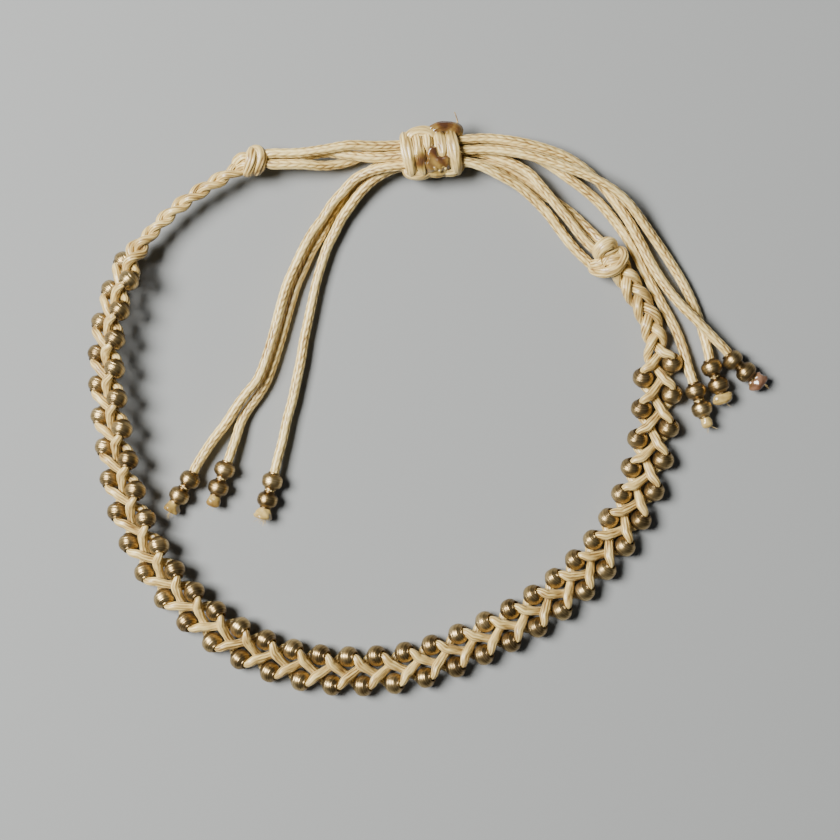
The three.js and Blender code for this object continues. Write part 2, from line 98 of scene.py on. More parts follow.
# The middle of the plait, one row for every two turns: x, y, z and how far it leans over, in degrees.
PLAIT = [
    (-11.4, 23.9, 2.4, 45), (-15.0, 21.9, 2.4, 45), (-18.5, 19.7, 2.35, 45), (-21.5, 17.0, 2.3, 54),
    (-23.9, 13.7, 2.26, 57), (-25.8, 8.1, 2.13, 50), (-26.0, 2.4, 2.07, 47), (-25.25, -3.4, 1.94, 40),
    (-24.0, -9.3, 1.73, 30), (-21.5, -14.7, 1.55, 22), (-17.7, -19.1, 1.39, 16), (-12.9, -22.4, 1.24, 10),
    (-7.5, -24.3, 1.13, 5), (-1.9, -24.75, 1.02, 0), (3.7, -24.0, 1.02, 0), (9.0, -21.9, 1.02, 0),
    (13.9, -19.4, 1.02, 0), (18.2, -16.1, 1.02, 0), (21.8, -12.1, 1.02, 0), (24.4, -7.2, 1.02, 0),
    (25.7, -1.5, 1.02, 0), (26.0, 4.4, 1.02, 0), (25.3, 8.4, 1.04, 0), (23.3, 12.0, 1.2, 0),
    (21.2, 15.2, 1.5, 0),
]

# Each loose cord from inside its overhand knot, through the sliding knot, to its first tail bead.
LOOSE_CORDS = {
    "left_cord_1": [
        (-11.3, 24.0, 2.6), (-10.4, 24.1, 2.75), (-9.2, 24.1, 2.8), (-7.7, 24.15, 2.85), (-5.4, 24.45, 3.0),
        (-3.1, 24.82, 2.98), (-0.8, 24.8, 2.62), (1.6, 24.9, 2.45), (4.45, 25.15, 2.45), (7.25, 25.4, 2.45),
        (9.6, 25.55, 2.45), (11.9, 25.35, 2.4), (13.8, 25.0, 2.2), (15.7, 24.5, 1.9), (17.2, 23.95, 1.6),
        (18.6, 23.15, 1.3), (19.9, 22.1, 1.2), (21.1, 20.8, 1.2), (22.1, 19.5, 1.2), (23.1, 18.1, 1.25),
        (24.4, 15.8, 1.2), (25.3, 14.0, 1.2), (26.6, 11.9, 1.3), (28.1, 10.0, 1.5), (29.7, 8.4, 1.6),
        (31.1, 7.0, 1.4), (32.5, 5.6, 1.15),
    ],
    "left_cord_2": [
        (-11.3, 23.7, 1.9), (-10.4, 23.7, 1.6), (-9.2, 23.7, 1.6), (-7.7, 23.85, 1.6), (-5.4, 24.25, 2.0),
        (-3.1, 23.97, 2.3), (-0.8, 23.75, 2.4), (1.6, 23.9, 2.45), (4.45, 24.15, 2.45), (7.25, 24.4, 2.45),
        (9.6, 24.5, 2.45), (11.9, 24.3, 2.5), (13.8, 23.95, 2.5), (15.7, 23.4, 2.5), (17.2, 22.85, 2.5),
        (18.6, 22.35, 2.4), (20.4, 21.5, 2.35), (21.9, 20.6, 2.15), (23.3, 19.4, 1.75), (25.3, 16.8, 1.1),
        (27.2, 14.1, 0.6), (28.6, 11.8, 0.5), (29.7, 9.4, 0.5), (30.3, 7.6, 0.5), (30.7, 6.1, 0.7),
        (30.9, 5.1, 0.95),
    ],
    "left_cord_3": [
        (-11.3, 23.4, 2.45), (-10.4, 23.1, 2.5), (-9.2, 23.1, 2.5), (-7.7, 23.1, 2.4), (-5.4, 23.05, 1.75),
        (-3.1, 23.55, 1.15), (-0.8, 24.65, 1.4), (1.6, 24.95, 1.45), (4.45, 25.15, 1.45), (7.25, 25.4, 1.45),
        (9.2, 25.35, 1.45), (11.1, 25.0, 1.4), (12.9, 24.5, 1.4), (14.8, 23.7, 1.4), (16.3, 22.8, 1.35),
        (17.7, 21.8, 1.3), (18.7, 21.1, 1.2), (20.5, 19.6, 0.9), (22.4, 17.4, 0.5), (23.8, 15.2, 0.5),
        (24.95, 12.9, 0.5), (26.3, 10.4, 0.5), (27.7, 7.8, 0.5), (28.5, 5.7, 0.5), (29.0, 3.8, 0.8),
        (29.3, 2.9, 1.0),
    ],
    "right_cord_1": [
        (20.75, 14.0, 2.0), (20.2, 13.8, 1.7), (19.72, 13.78, 1.25), (19.05, 14.35, 1.2), (18.35, 15.05, 1.1),
        (17.6, 15.9, 1.1), (16.7, 17.1, 1.1), (15.8, 18.3, 1.2), (14.8, 19.4, 1.3), (12.9, 21.05, 1.7),
        (11.0, 22.1, 2.1), (9.1, 23.0, 2.45), (7.2, 23.42, 2.45), (4.45, 23.15, 2.45), (1.6, 22.95, 2.47),
        (0.2, 22.8, 2.36), (-1.4, 22.4, 2.1), (-2.6, 21.8, 1.85), (-3.8, 20.6, 1.65), (-4.8, 19.5, 1.5),
        (-5.7, 18.1, 1.4), (-6.6, 16.9, 1.4), (-7.5, 15.3, 1.4), (-8.2, 13.8, 1.4), (-9.0, 12.0, 1.4),
        (-9.5, 10.4, 1.4), (-10.8, 5.7, 1.4), (-11.9, 2.85, 1.4), (-12.9, 1.6, 1.35), (-13.8, 0.4, 1.2),
        (-14.9, -1.3, 1.0), (-16.2, -3.0, 1.0), (-17.5, -5.0, 1.0), (-17.85, -5.65, 1.05),
    ],
    "right_cord_2": [
        (20.4, 14.9, 1.5), (19.6, 15.5, 1.6), (18.6, 16.6, 1.55), (17.7, 17.8, 1.55), (16.7, 19.0, 1.55),
        (15.8, 20.1, 1.6), (14.8, 21.3, 1.6), (13.9, 22.3, 1.55), (12.9, 22.95, 1.5), (11.7, 23.5, 1.45),
        (9.2, 24.3, 1.45), (7.25, 24.4, 1.45), (4.45, 24.15, 1.45), (1.6, 23.93, 1.45), (0.2, 23.48, 1.14),
        (-1.2, 22.7, 0.8), (-2.5, 21.65, 0.55), (-3.45, 20.6, 0.5), (-4.35, 19.3, 0.5), (-5.2, 18.0, 0.5),
        (-5.9, 16.6, 0.5), (-6.8, 15.1, 0.5), (-7.5, 13.5, 0.5), (-8.2, 11.9, 0.5), (-8.7, 10.3, 0.5),
        (-10.1, 5.5, 0.5), (-11.1, 2.7, 0.5), (-12.0, 1.2, 0.5), (-12.8, 0.1, 0.5), (-13.45, -1.1, 0.6),
        (-13.9, -2.5, 0.8), (-14.4, -4.0, 1.0), (-14.6, -4.6, 1.05),
    ],
    "right_cord_3": [
        (21.0, 15.5, 1.3), (20.25, 16.3, 1.0), (19.4, 17.2, 0.7), (18.1, 18.5, 0.5), (17.2, 19.2, 0.5),
        (16.3, 19.8, 0.5), (15.3, 20.4, 0.5), (14.4, 21.1, 0.5), (12.9, 22.0, 0.6), (11.1, 22.9, 0.9),
        (9.2, 23.25, 1.35), (7.2, 23.41, 1.45), (4.45, 23.13, 1.45), (1.6, 22.93, 1.45), (0.2, 22.42, 1.44),
        (-1.1, 21.6, 1.3), (-2.3, 20.4, 1.1), (-3.15, 19.25, 0.95), (-3.95, 18.1, 0.85), (-4.6, 16.8, 0.8),
        (-5.3, 15.4, 0.8), (-5.8, 13.9, 0.8), (-6.3, 12.2, 0.8), (-6.7, 10.4, 0.8), (-7.1, 8.5, 0.8),
        (-7.5, 6.6, 0.8), (-7.8, 4.7, 0.8), (-8.2, 2.8, 0.8), (-8.6, 0.9, 0.8), (-9.1, -0.9, 0.85),
        (-9.5, -2.8, 0.9), (-10.0, -4.7, 1.0), (-10.2, -5.6, 1.05),
    ],
}

# The two tail beads and the melted tip on each cord: x and y of each. The tip's sections are
# (place along it, radius), and flat is its height against its width. Burn is how brown it is and rosy how
# pink, from 0 to 1, lumps how uneven, and fray how many loose fibres it has.
TAIL_Z = 1.0
CORD_IN_TIP = 0.7  # how far short of the tip's middle the cord ends, inside the melted drop
TAILS = {
    "left_cord_1": dict(
        node="tail_end_right_1", first=(33.15, 4.73), second=(34.4, 3.6), tip=(35.65, 2.55), burn=0.7,
        sections=[(-0.85, 0.5), (-0.65, 0.74), (-0.3, 0.85), (0.1, 0.88), (0.36, 0.7), (0.5, 0.4)],
        flat=0.55, fray=2, lumps=2.4, rosy=0.75,
    ),
    "left_cord_2": dict(
        node="tail_end_right_2", first=(31.15, 4.0), second=(31.8, 2.35), tip=(32.25, 0.95), burn=0.42,
        sections=[(-0.66, 0.6), (-0.48, 0.86), (-0.2, 0.96), (0.1, 0.9), (0.32, 0.66), (0.42, 0.3)],
        flat=0.68, fray=1, lumps=1.0, rosy=0.0,
    ),
    "left_cord_3": dict(
        node="tail_end_right_3", first=(29.65, 1.8), second=(30.2, 0.1), tip=(30.7, -1.3), burn=0.36,
        sections=[(-0.7, 0.42), (-0.4, 0.52), (-0.1, 0.58), (0.15, 0.56), (0.34, 0.42), (0.44, 0.2)],
        flat=0.9, fray=3, lumps=1.0, rosy=0.0,
    ),
    "right_cord_1": dict(
        node="tail_end_left_1", first=(-18.3, -6.6), second=(-19.3, -8.1), tip=(-20.0, -9.35), burn=0.47,
        sections=[(-0.75, 0.46), (-0.5, 0.58), (-0.2, 0.74), (0.1, 0.8), (0.32, 0.68), (0.44, 0.4)],
        flat=0.82, fray=7, lumps=1.4, rosy=0.0,
    ),
    "right_cord_2": dict(
        node="tail_end_left_2", first=(-15.0, -5.65), second=(-15.6, -7.35), tip=(-16.1, -8.8), burn=0.5,
        sections=[(-0.7, 0.46), (-0.45, 0.58), (-0.15, 0.66), (0.15, 0.64), (0.34, 0.48), (0.44, 0.24)],
        flat=0.85, fray=2, lumps=1.0, rosy=0.0,
    ),
    "right_cord_3": dict(
        node="tail_end_left_3", first=(-10.5, -6.75), second=(-10.95, -8.5), tip=(-11.35, -10.0), burn=0.35,
        sections=[(-0.75, 0.46), (-0.5, 0.62), (-0.2, 0.8), (0.1, 0.9), (0.3, 0.82), (0.42, 0.5)],
        flat=0.75, fray=16, lumps=1.7, rosy=0.0,
    ),
}

# Overhand knots lie along their own X axis, turned by heading in degrees. A band is a bundle pulled round
# the knot: where it is along the knot, its radius, slant in degrees, half width and half thickness.
OVERHAND_KNOTS = {
    "overhand_knot_left": dict(
        at=(-11.95, 23.42, 2.3), heading=8, core=0.78, length=1.7,
        bands=[(-0.42, 0.72, -15, 0.5, 0.42), (0.36, 0.74, -8, 0.5, 0.42)],
        turns=["front_turn", "back_turn", "shoulder"],
    ),
    "overhand_knot_right": dict(
        at=(21.5, 14.6, 1.5), heading=128, core=0.8, length=2.0,
        bands=[(-0.55, 0.76, -20, 0.46, 0.4), (0.35, 0.74, -10, 0.46, 0.4)],
        turns=["crescent", "lobe", "inner_strand_1", "inner_strand_2"],
    ),
}

# Turns of cord pulled over a knot: half width, half thickness, and x, y, z of each point.
KNOT_TURNS = {
    "front_turn": (0.54, 0.4, [
        (-11.9, 24.15, 2.0), (-12.1, 24.38, 2.7), (-12.22, 24.0, 3.2), (-12.28, 23.4, 3.36),
        (-12.5, 22.75, 3.1), (-12.72, 22.3, 2.6), (-12.6, 22.35, 2.0),
    ]),
    "back_turn": (0.56, 0.42, [
        (-12.5, 24.1, 2.3), (-12.05, 24.42, 2.75), (-11.62, 24.3, 2.98), (-11.42, 23.7, 3.1),
        (-11.6, 23.0, 3.0), (-11.9, 22.5, 2.5), (-12.05, 22.5, 1.9),
    ]),
    "shoulder": (0.5, 0.4, [
        (-13.95, 23.1, 2.1), (-13.6, 23.5, 2.55), (-13.1, 23.75, 2.8), (-12.6, 23.7, 2.7),
    ]),
    "crescent": (0.5, 0.42, [
        (19.8, 13.5, 0.9), (19.95, 13.2, 1.3), (20.5, 12.98, 1.95), (21.2, 12.98, 2.25),
        (21.95, 13.3, 2.35), (22.5, 13.9, 2.3), (22.72, 14.5, 2.1), (22.5, 15.0, 1.8), (22.1, 15.1, 1.5),
    ]),
    "lobe": (0.62, 0.44, [
        (20.35, 14.5, 1.7), (20.25, 14.8, 2.3), (20.55, 15.22, 2.62), (20.95, 15.55, 2.7),
        (21.35, 15.7, 2.55), (21.65, 15.55, 2.1), (21.65, 15.25, 1.6),
    ]),
    "inner_strand_1": (0.36, 0.36, [
        (20.75, 13.5, 1.7), (20.95, 13.95, 2.0), (21.3, 14.45, 2.1), (21.7, 15.0, 1.95), (21.9, 15.4, 1.6),
    ]),
    "inner_strand_2": (0.36, 0.36, [
        (21.4, 13.3, 1.8), (21.6, 13.8, 2.05), (21.9, 14.3, 2.1), (22.15, 14.8, 1.9),
    ]),
}

# The sliding knot lies along its own X axis, with its turned-back ends (bights) to the sides.
SLIDE = dict(at=(4.5, 24.15, 1.92), heading=5)
SLIDE_HALF_WIDTH = 1.84
SLIDE_HALF_HEIGHT = 1.5
SLIDE_SQUARENESS = 2.6
# Each wrap: where it is along the knot, slant in degrees, half width, half thickness, and the side at which
# it runs out under the melted cord.
SLIDE_WRAPS = [
    (-2.1, 7, 0.6, 0.43, None), (-1.05, 5, 0.52, 0.4, None), (-0.15, 2, 0.52, 0.4, 0.35),
    (1.05, 4, 0.6, 0.46, -0.35), (2.12, 6, 0.64, 0.43, None),
]
# Each bight: side, where it is along the knot, length, reach from the middle, height, burn.
SLIDE_BIGHTS = [
    (1, -0.75, 2.1, 2.45, 1.0, 0.1), (1, 1.5, 2.3, 2.72, 0.95, 0.66), (-1, -1.3, 1.9, 2.3, 0.55, 0.05),
    (-1, 0.5, 1.5, 2.25, 0.6, 0.45), (-1, 1.75, 1.5, 2.25, 0.5, 0.2),
]
# Bubbles in the melted cord: along, side, height, size, burn.
BUBBLES = [
    (1.0, -1.45, 1.46, 0.24, 0.4), (1.32, -1.2, 1.58, 0.19, 0.32), (1.25, -1.62, 1.4, 0.16, 0.3),
    (0.72, -1.78, 1.33, 0.2, 0.36), (0.3, -1.5, 1.44, 0.3, 0.45),
]
# Scorched places on the sliding knot: along, side, reach, strength. Its underside isn't scorched.
UNBURNT_BELOW = -0.6
SCORCHES = [
    (0.4, -1.1, 1.5, 0.66), (1.6, 2.75, 2.3, 1.0), (-0.1, 0.1, 0.8, 0.45), (-0.95, -0.8, 1.5, 0.85),
    (-2.1, -0.3, 1.4, 0.17), (2.1, -1.3, 0.9, 0.2),
]


# ---- Lines in space ----------------------------------------------------------------------------

def unit(vectors):
    return vectors / np.linalg.norm(vectors, axis=-1, keepdims=True)


def ease(low, high, value):
    """A smooth share that is 0 up to low and 1 from high on."""
    share = np.clip((np.asarray(value, float) - low) / (high - low), 0, 1)
    return share * share * (3 - 2 * share)


def angles_round(count, start=0):
    """Even angles once round, the first of them start steps on."""
    return (np.arange(count) + start) * 2 * math.pi / count


def turned_about_z(degrees):
    turn = math.radians(degrees)
    return np.array([[math.cos(turn), -math.sin(turn), 0], [math.sin(turn), math.cos(turn), 0], [0, 0, 1]])


def slope_of(line):
    return unit(np.gradient(line, axis=0))


def run_of(line):
    """Length of the line up to each of its points."""
    return np.concatenate([[0], np.cumsum(np.linalg.norm(np.diff(line, axis=0), axis=1))])


def square_to(slope, wanted):
    """The direction nearest to the wanted one that is square to the line's slope."""
    return unit(wanted - slope * np.sum(slope * wanted, axis=-1, keepdims=True))


def smooth_span(start, end, leave, arrive, share):
    """Points from start to end, with the travel at which the line leaves the one and arrives at the other."""
    return (
        start + leave * share + (3 * (end - start) - 2 * leave - arrive) * share**2
        + (2 * (start - end) + leave + arrive) * share**3
    )


def ends_run_on(points):
    """The points with one more before the first and one after the last, each straight on."""
    return np.vstack([2 * points[0] - points[1], points, 2 * points[-1] - points[-2]])


def even_steps(line, step):
    run = run_of(line)
    count = max(int(round(run[-1] / step)), 4)
    wanted = np.linspace(0, run[-1], count + 1)
    return np.stack([np.interp(wanted, run, line[:, i]) for i in range(line.shape[1])], axis=1)


def lying_line(points, step):
    """A smooth line in even steps through the points of a route, weighted by how far apart they are."""
    points = np.array(points, float)
    longer = ends_run_on(points)
    share = np.linspace(0, 1, 24, endpoint=False)[:, None]
    line = []
    for a, b, c, d in zip(longer, longer[1:], longer[2:], longer[3:]):
        before, between, after = (math.sqrt(np.linalg.norm(q - p)) for p, q in ((a, b), (b, c), (c, d)))
        leave = ((b - a) / before - (c - a) / (before + between) + (c - b) / between) * between
        arrive = ((c - b) / between - (d - b) / (between + after) + (d - c) / after) * between
        line.append(smooth_span(b, c, leave, arrive, share))
    return even_steps(np.vstack([*line, points[-1:]]), step)


PLAIT_ROWS = ends_run_on(np.array(PLAIT, float))


def plait_row(turn):
    """Middle and lean of the plait at a turn, on a smooth line through its rows."""
    place = FIRST_BEAD_ROW + np.asarray(turn, float) / TURNS_PER_ROW
    row = np.clip(np.floor(place).astype(int), 0, len(PLAIT) - 2)
    share = (place - row)[..., None]
    a, b, c, d = (PLAIT_ROWS[row + i] for i in range(4))
    return smooth_span(b, c, (c - a) / 2, (d - b) / 2, share)


def plait_frame(turn):
    """Middle of the plait at a turn, and the directions out to its outer edge and up through it."""
    turn = np.asarray(turn, float)
    here = plait_row(turn)
    near = 0.01
    along = unit(plait_row(turn + near)[..., :3] - plait_row(turn - near)[..., :3])
    level = unit(np.cross(along, UPWARD))
    upright = np.cross(level, along)
    lean = np.radians(here[..., 3:])
    outward = np.cos(lean) * level - np.sin(lean) * upright
    through = np.sin(lean) * level + np.cos(lean) * upright
    return here[..., :3], outward, through


def tightened(share, turn):
    """A share that holds for the plain part at the left knot, pulled tight, and grows to 1 past it."""
    return share + (1 - share) * ease(*TIGHT_OPENS, turn)


def strand_phase(turn, strand):
    """How far a strand has gone round, as an angle: 0 at the outer edge."""
    return 2 * math.pi * (turn - strand) / STRANDS


def strand_point(turn, strand):
    """Where the middle of a strand would run if no bead held it straight."""
    turn = np.asarray(turn, float)
    centre, outward, through = plait_frame(turn)
    phase = strand_phase(turn, strand)
    beaded = ease(-0.7, -0.1, turn) - ease(LAST_BEAD_TURN + 0.1, LAST_BEAD_TURN + 0.7, turn)
    size = tightened(TIGHT_REACH, turn)
    reach = (PLAIN_REACH + (BEADED_REACH - PLAIN_REACH) * beaded) * size
    return (
        centre + outward * (reach * np.cos(phase))[..., None]
        + through * (RISE * size * np.sin(2 * phase))[..., None]
    )


def bead_seat(turn, strand):
    """Middle of the bead that a strand carries at a turn, and the strand's travel there per turn."""
    turn = np.asarray(turn, float)
    side = np.sign(np.cos(strand_phase(turn, strand)))
    _, outward, _ = plait_frame(turn)
    centre = strand_point(turn, strand) + outward * (side * (BEAD_REACH - BEADED_REACH))[..., None]
    near = 0.02
    travel = (strand_point(turn + near, strand) - strand_point(turn - near, strand)) / (2 * near)
    return centre, travel


# ---- Shapes ------------------------------------------------------------------------------------

def skin(rings, run, marks, closed=False):
    """Faces over rings of points, capped at both ends unless the last ring joins the first.

    The run is the length up to each ring, in millimetres, and is kept as a texture place. The marks are values
    that the finish reads, one for the shape, one for each ring or one for each point.
    """
    rings = np.asarray(rings, float)
    count, sides, _ = rings.shape
    spans = count if closed else count - 1
    row, column = np.meshgrid(np.arange(spans), np.arange(sides), indexing="ij")
    row_next = (row + 1) % count
    column_next = (column + 1) % sides
    quads = np.stack([
        row * sides + column, row * sides + column_next,
        row_next * sides + column_next, row_next * sides + column,
    ], axis=-1).reshape(-1, 4)
    run = np.asarray(run, float)
    run_next = np.append(run[1:], 2 * run[-1] - run[-2])
    start, stop = run[row], run_next[row]
    left, right = column / sides, (column + 1) / sides
    places = np.stack([
        np.stack([left, start], -1), np.stack([right, start], -1),
        np.stack([right, stop], -1), np.stack([left, stop], -1),
    ], axis=2).reshape(-1, 4, 2)
    caps = [] if closed else [np.arange(sides)[::-1], (count - 1) * sides + np.arange(sides)]
    shape = dict(points=rings.reshape(-1, 3), quads=quads, places=places, caps=caps, marks={})
    for name, values in marks.items():
        shape["marks"][name] = np.broadcast_to(values, (count, sides)).reshape(-1).astype(float)
    return shape


def moved(shape, place):
    """The shape turned about Z by its heading in degrees and set at its place."""
    spin = turned_about_z(place["heading"])
    return {**shape, "points": shape["points"] @ spin.T + np.array(place["at"], float)}


def placed(name, data):
    """A new object with this data, in the scene."""
    thing = bpy.data.objects.new(name, data)
    bpy.context.scene.collection.objects.link(thing)
    return thing


def piece_of(name, shapes, finish, nodes=()):
    """One named piece from shapes in millimetres, riding with the bracelet."""
    points, quads, places, caps, marks = [], [], [], [], {}
    names = sorted({mark for shape in shapes for mark in shape["marks"]})
    offset = 0
    for shape in shapes:
        size = len(shape["points"])
        points.append(shape["points"])
        quads.append(shape["quads"] + offset)
        places.append(shape["places"])
        caps.extend(cap + offset for cap in shape["caps"])
        for mark in names:
            marks.setdefault(mark, []).append(shape["marks"].get(mark, np.zeros(size)))
        offset += size
    points, quads, places = np.vstack(points), np.vstack(quads), np.vstack(places)
    points[:, 2] = np.maximum(points[:, 2], 0)
    corners = np.concatenate([quads.reshape(-1), *caps]).astype(np.int32)
    sizes = np.array([4] * len(quads) + [len(cap) for cap in caps], np.int32)
    mesh = bpy.data.meshes.new(name)
    mesh.vertices.add(len(points))
    mesh.vertices.foreach_set("co", (points * MM).astype(np.float32).reshape(-1))
    mesh.loops.add(len(corners))
    mesh.loops.foreach_set("vertex_index", corners)
    mesh.polygons.add(len(sizes))
    mesh.polygons.foreach_set("loop_start", np.concatenate([[0], np.cumsum(sizes)[:-1]]).astype(np.int32))
    mesh.update(calc_edges=True)
    mesh.validate()
    mesh.polygons.foreach_set("use_smooth", np.ones(len(mesh.polygons), bool))
    unwrapped = np.zeros((len(corners), 2), np.float32)
    unwrapped[: len(quads) * 4] = places.reshape(-1, 2)
    mesh.uv_layers.new(name="run").data.foreach_set("uv", unwrapped.reshape(-1))
    for mark, values in marks.items():
        layer = mesh.attributes.new(mark, "FLOAT", "POINT")
        layer.data.foreach_set("value", np.concatenate(values).astype(np.float32))
    mesh.materials.append(finish)
    piece = placed(name, mesh)
    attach(piece, "root")
    if nodes:
        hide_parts(*nodes)
    return piece


FILAMENTS = 9
FILAMENT_TWIST = 0.3
STITCH_COLUMNS = 8
# Length and slant of a stitch on a loose cord, and on a strand that is flattened and pulled long.
CORD_STITCH = (0.92, 0.8)
STRAND_STITCH = (1.35, 0.6)
# Height of a ridge over its groove, as a share of the radius.
CORD_DEPTH = 0.19
STRAND_DEPTH = 0.24
KNOT_TURN_DEPTH = 0.32
WRAP_DEPTH = 0.34
CORD_SIDES = 40
STRAND_SIDES = 36
KNOT_SIDES = 60


def stitches(angle, run, length, slant, start):
    """How proud the cord stands, from 0 in a crease to 1 on a stitch.

    The stitches slant, are of uneven length, and lie in columns that meet as a herringbone.
    """
    column = angle * STITCH_COLUMNS / (2 * math.pi)
    index = np.floor(column)
    aside = (column - index - 0.5)[None, :]
    lean = np.where(index % 2 == 0, 1.0, -1.0)[None, :]
    wander = 0.24 * np.sin(run / 3.1 + start) + 0.14 * np.sin(run / 1.3 + 2 * start)
    own = 0.2 * np.sin(run[:, None] / 1.9 + 2.4 * index[None, :] + start)
    place = (run / length + wander)[:, None] + own + lean * aside * slant + 0.5 * (index % 2)[None, :]
    along = place - np.floor(place)
    deep = 0.72 + 0.28 * np.sin(run[:, None] / 2.3 + 1.9 * index[None, :] + 3 * start)
    return 1 - deep * (1 - np.sin(math.pi * along) ** 0.45 * (1 - np.abs(2 * aside) ** 2.2))


def bundle(
    line, thin_way, half_width, half_thickness,
    sides=STRAND_SIDES, closed=False, burn=0.0, depth=STRAND_DEPTH, stitched_over=True,
):
    """A flattened strand whose filaments run lengthwise as rounded ridges."""
    slope = unit(np.roll(line, -1, axis=0) - np.roll(line, 1, axis=0)) if closed else slope_of(line)
    thin = square_to(slope, thin_way)
    wide = np.cross(slope, thin)
    run = run_of(line)
    angle = angles_round(sides)
    start = chance.uniform(0, 6)
    sway = 0.5 * np.sin(run / 1.1 + start) + 0.3 * np.sin(run / 0.47 + 2 * start)
    ridge = np.abs(np.cos(FILAMENTS * angle[None, :] / 2 + (FILAMENT_TWIST * run + sway + start)[:, None]))
    crest = 0.75 + 0.25 * np.cos(3 * angle[None, :] + 1.7 * run[:, None] + start)
    ridge = ridge**0.7 * crest
    if stitched_over:
        ridge = 0.55 * ridge + 0.45 * stitches(angle, run, *STRAND_STITCH, start)
    swell = 1 + depth * (ridge - 0.55)
    half_width = np.broadcast_to(half_width, len(line))[:, None]
    half_thickness = np.broadcast_to(half_thickness, len(line))[:, None]
    across = np.cos(angle)[None, :] * half_width * swell
    up = np.sin(angle)[None, :] * half_thickness * swell
    rings = line[:, None] + wide[:, None] * across[..., None] + thin[:, None] * up[..., None]
    return skin(rings, run, {"relief": ridge, "burn": burn}, closed)


def stitched(line, radius):
    """A round plaited cord with its herringbone of short stitches."""
    slope = slope_of(line)
    thin = square_to(slope, np.broadcast_to(UPWARD, slope.shape))
    wide = np.cross(slope, thin)
    run = run_of(line)
    angle = angles_round(CORD_SIDES, start=0.5)
    start = chance.uniform(0, 6)
    relief = stitches(angle, run, *CORD_STITCH, start)
    swell = radius * (1 + CORD_DEPTH * (relief - 0.68)) * (1 + 0.03 * np.sin(run / 2.7 + start))[:, None]
    rings = (
        line[:, None]
        + wide[:, None] * (np.cos(angle)[None, :] * swell)[..., None]
        + thin[:, None] * (np.sin(angle)[None, :] * swell)[..., None]
    )
    return skin(rings, run, {"relief": relief, "burn": 0.0})


def fibre(start, way, length, curl, width=0.045):
    """A single stray filament that bends as it leaves the cord."""
    start, way = np.array(start, float), np.array(way, float)
    way = way / np.linalg.norm(way)
    side = np.cross(way, UPWARD)
    share = np.linspace(0, 1, 9)[:, None]
    line = start + way * length * share + (side * curl + np.array((0, 0, 0.12 * length))) * share**2
    line[:, 2] = np.maximum(line[:, 2], 0.05)
    taper = width / 2 * (1 - 0.5 * share[:, 0])
    return bundle(line, np.broadcast_to(UPWARD, line.shape), taper, taper, sides=5, stitched_over=False)


def bead_profile():
    """Section of the turned bead, as (place along its axis, radius), from hole to hole."""
    body = np.linspace(0, BEAD_BODY_END, 9)
    radius = BEAD_RADIUS * (1 - (body / 0.8) ** 2.6) ** (1 / 2.2)
    face = BEAD_LENGTH / 2
    half = [
        *zip(body, radius),
        (COLLAR_START, COLLAR_RADIUS + 0.005),
        (face - EDGE_ROUNDING, COLLAR_RADIUS),
        (face, COLLAR_RADIUS - EDGE_ROUNDING),
        (face, HOLE_RADIUS + 0.02),
        (face - 0.04, HOLE_RADIUS - 0.01),
        (face - HOLE_DEPTH, HOLE_RADIUS - 0.04),
    ]
    mirrored = [(-place, size) for place, size in half[:0:-1]]
    return np.array(mirrored + half)


BEAD_PROFILE = bead_profile()


def bead(centre, axis):
    """A small turned brass bead with a collar at each end, a little dented and worn."""
    axis = np.array(axis, float) / np.linalg.norm(axis)
    first = np.cross(axis, (0.3, 0.1, 1.0))
    first /= np.linalg.norm(first)
    second = np.cross(axis, first)
    angle = angles_round(BEAD_SIDES)
    place, radius = BEAD_PROFILE[:, :1], BEAD_PROFILE[:, 1:]
    start, dent = chance.uniform(0, 2 * math.pi, 2)
    swell = 1 + 0.012 * np.cos(2 * angle + start) + 0.006 * np.cos(5 * angle + dent + 2 * place)
    past_dent = (angle - dent + math.pi) % (2 * math.pi) - math.pi
    swell -= DENT_DEPTH * np.exp(-(past_dent**2 / 0.1 + (place - 0.15) ** 2 / 0.06))
    radius = radius * np.where(radius > COLLAR_RADIUS, swell, 1.0)
    rings = (
        np.array(centre, float) + axis * place[..., None]
        + first * (np.cos(angle) * radius)[..., None] + second * (np.sin(angle) * radius)[..., None]
    )
    worn = np.clip((BEAD_PROFILE[:, 1] - 0.6) / 0.4, 0, 1)[:, None]
    # Inside the hole the bead is coloured near black: painted shade in the bore.
    hollow = (BEAD_PROFILE[:, 1] < HOLE_RADIUS)[:, None]
    marks = {"worn": worn, "tone": chance.uniform(0, 1), "hollow": hollow}
    return skin(rings, np.linspace(0, BEAD_SKIN_RUN, len(place)), marks)


# ---- Finishes ----------------------------------------------------------------------------------

class Mask:
    """One value in a finish, so that a mask can be written as plain arithmetic."""

    def __init__(self, finish, socket):
        self.finish = finish
        self.socket = socket

    def join(self, operation, first, second):
        return self.finish.add("ShaderNodeMath", {"operation": operation}, {0: first, 1: second})

    def __add__(self, other):
        return self.join("ADD", self, other)

    __radd__ = __add__

    def __sub__(self, other):
        return self.join("SUBTRACT", self, other)

    def __rsub__(self, other):
        return self.join("SUBTRACT", other, self)

    def __mul__(self, other):
        return self.join("MULTIPLY", self, other)

    __rmul__ = __mul__

    def __pow__(self, other):
        return self.join("POWER", self, other)


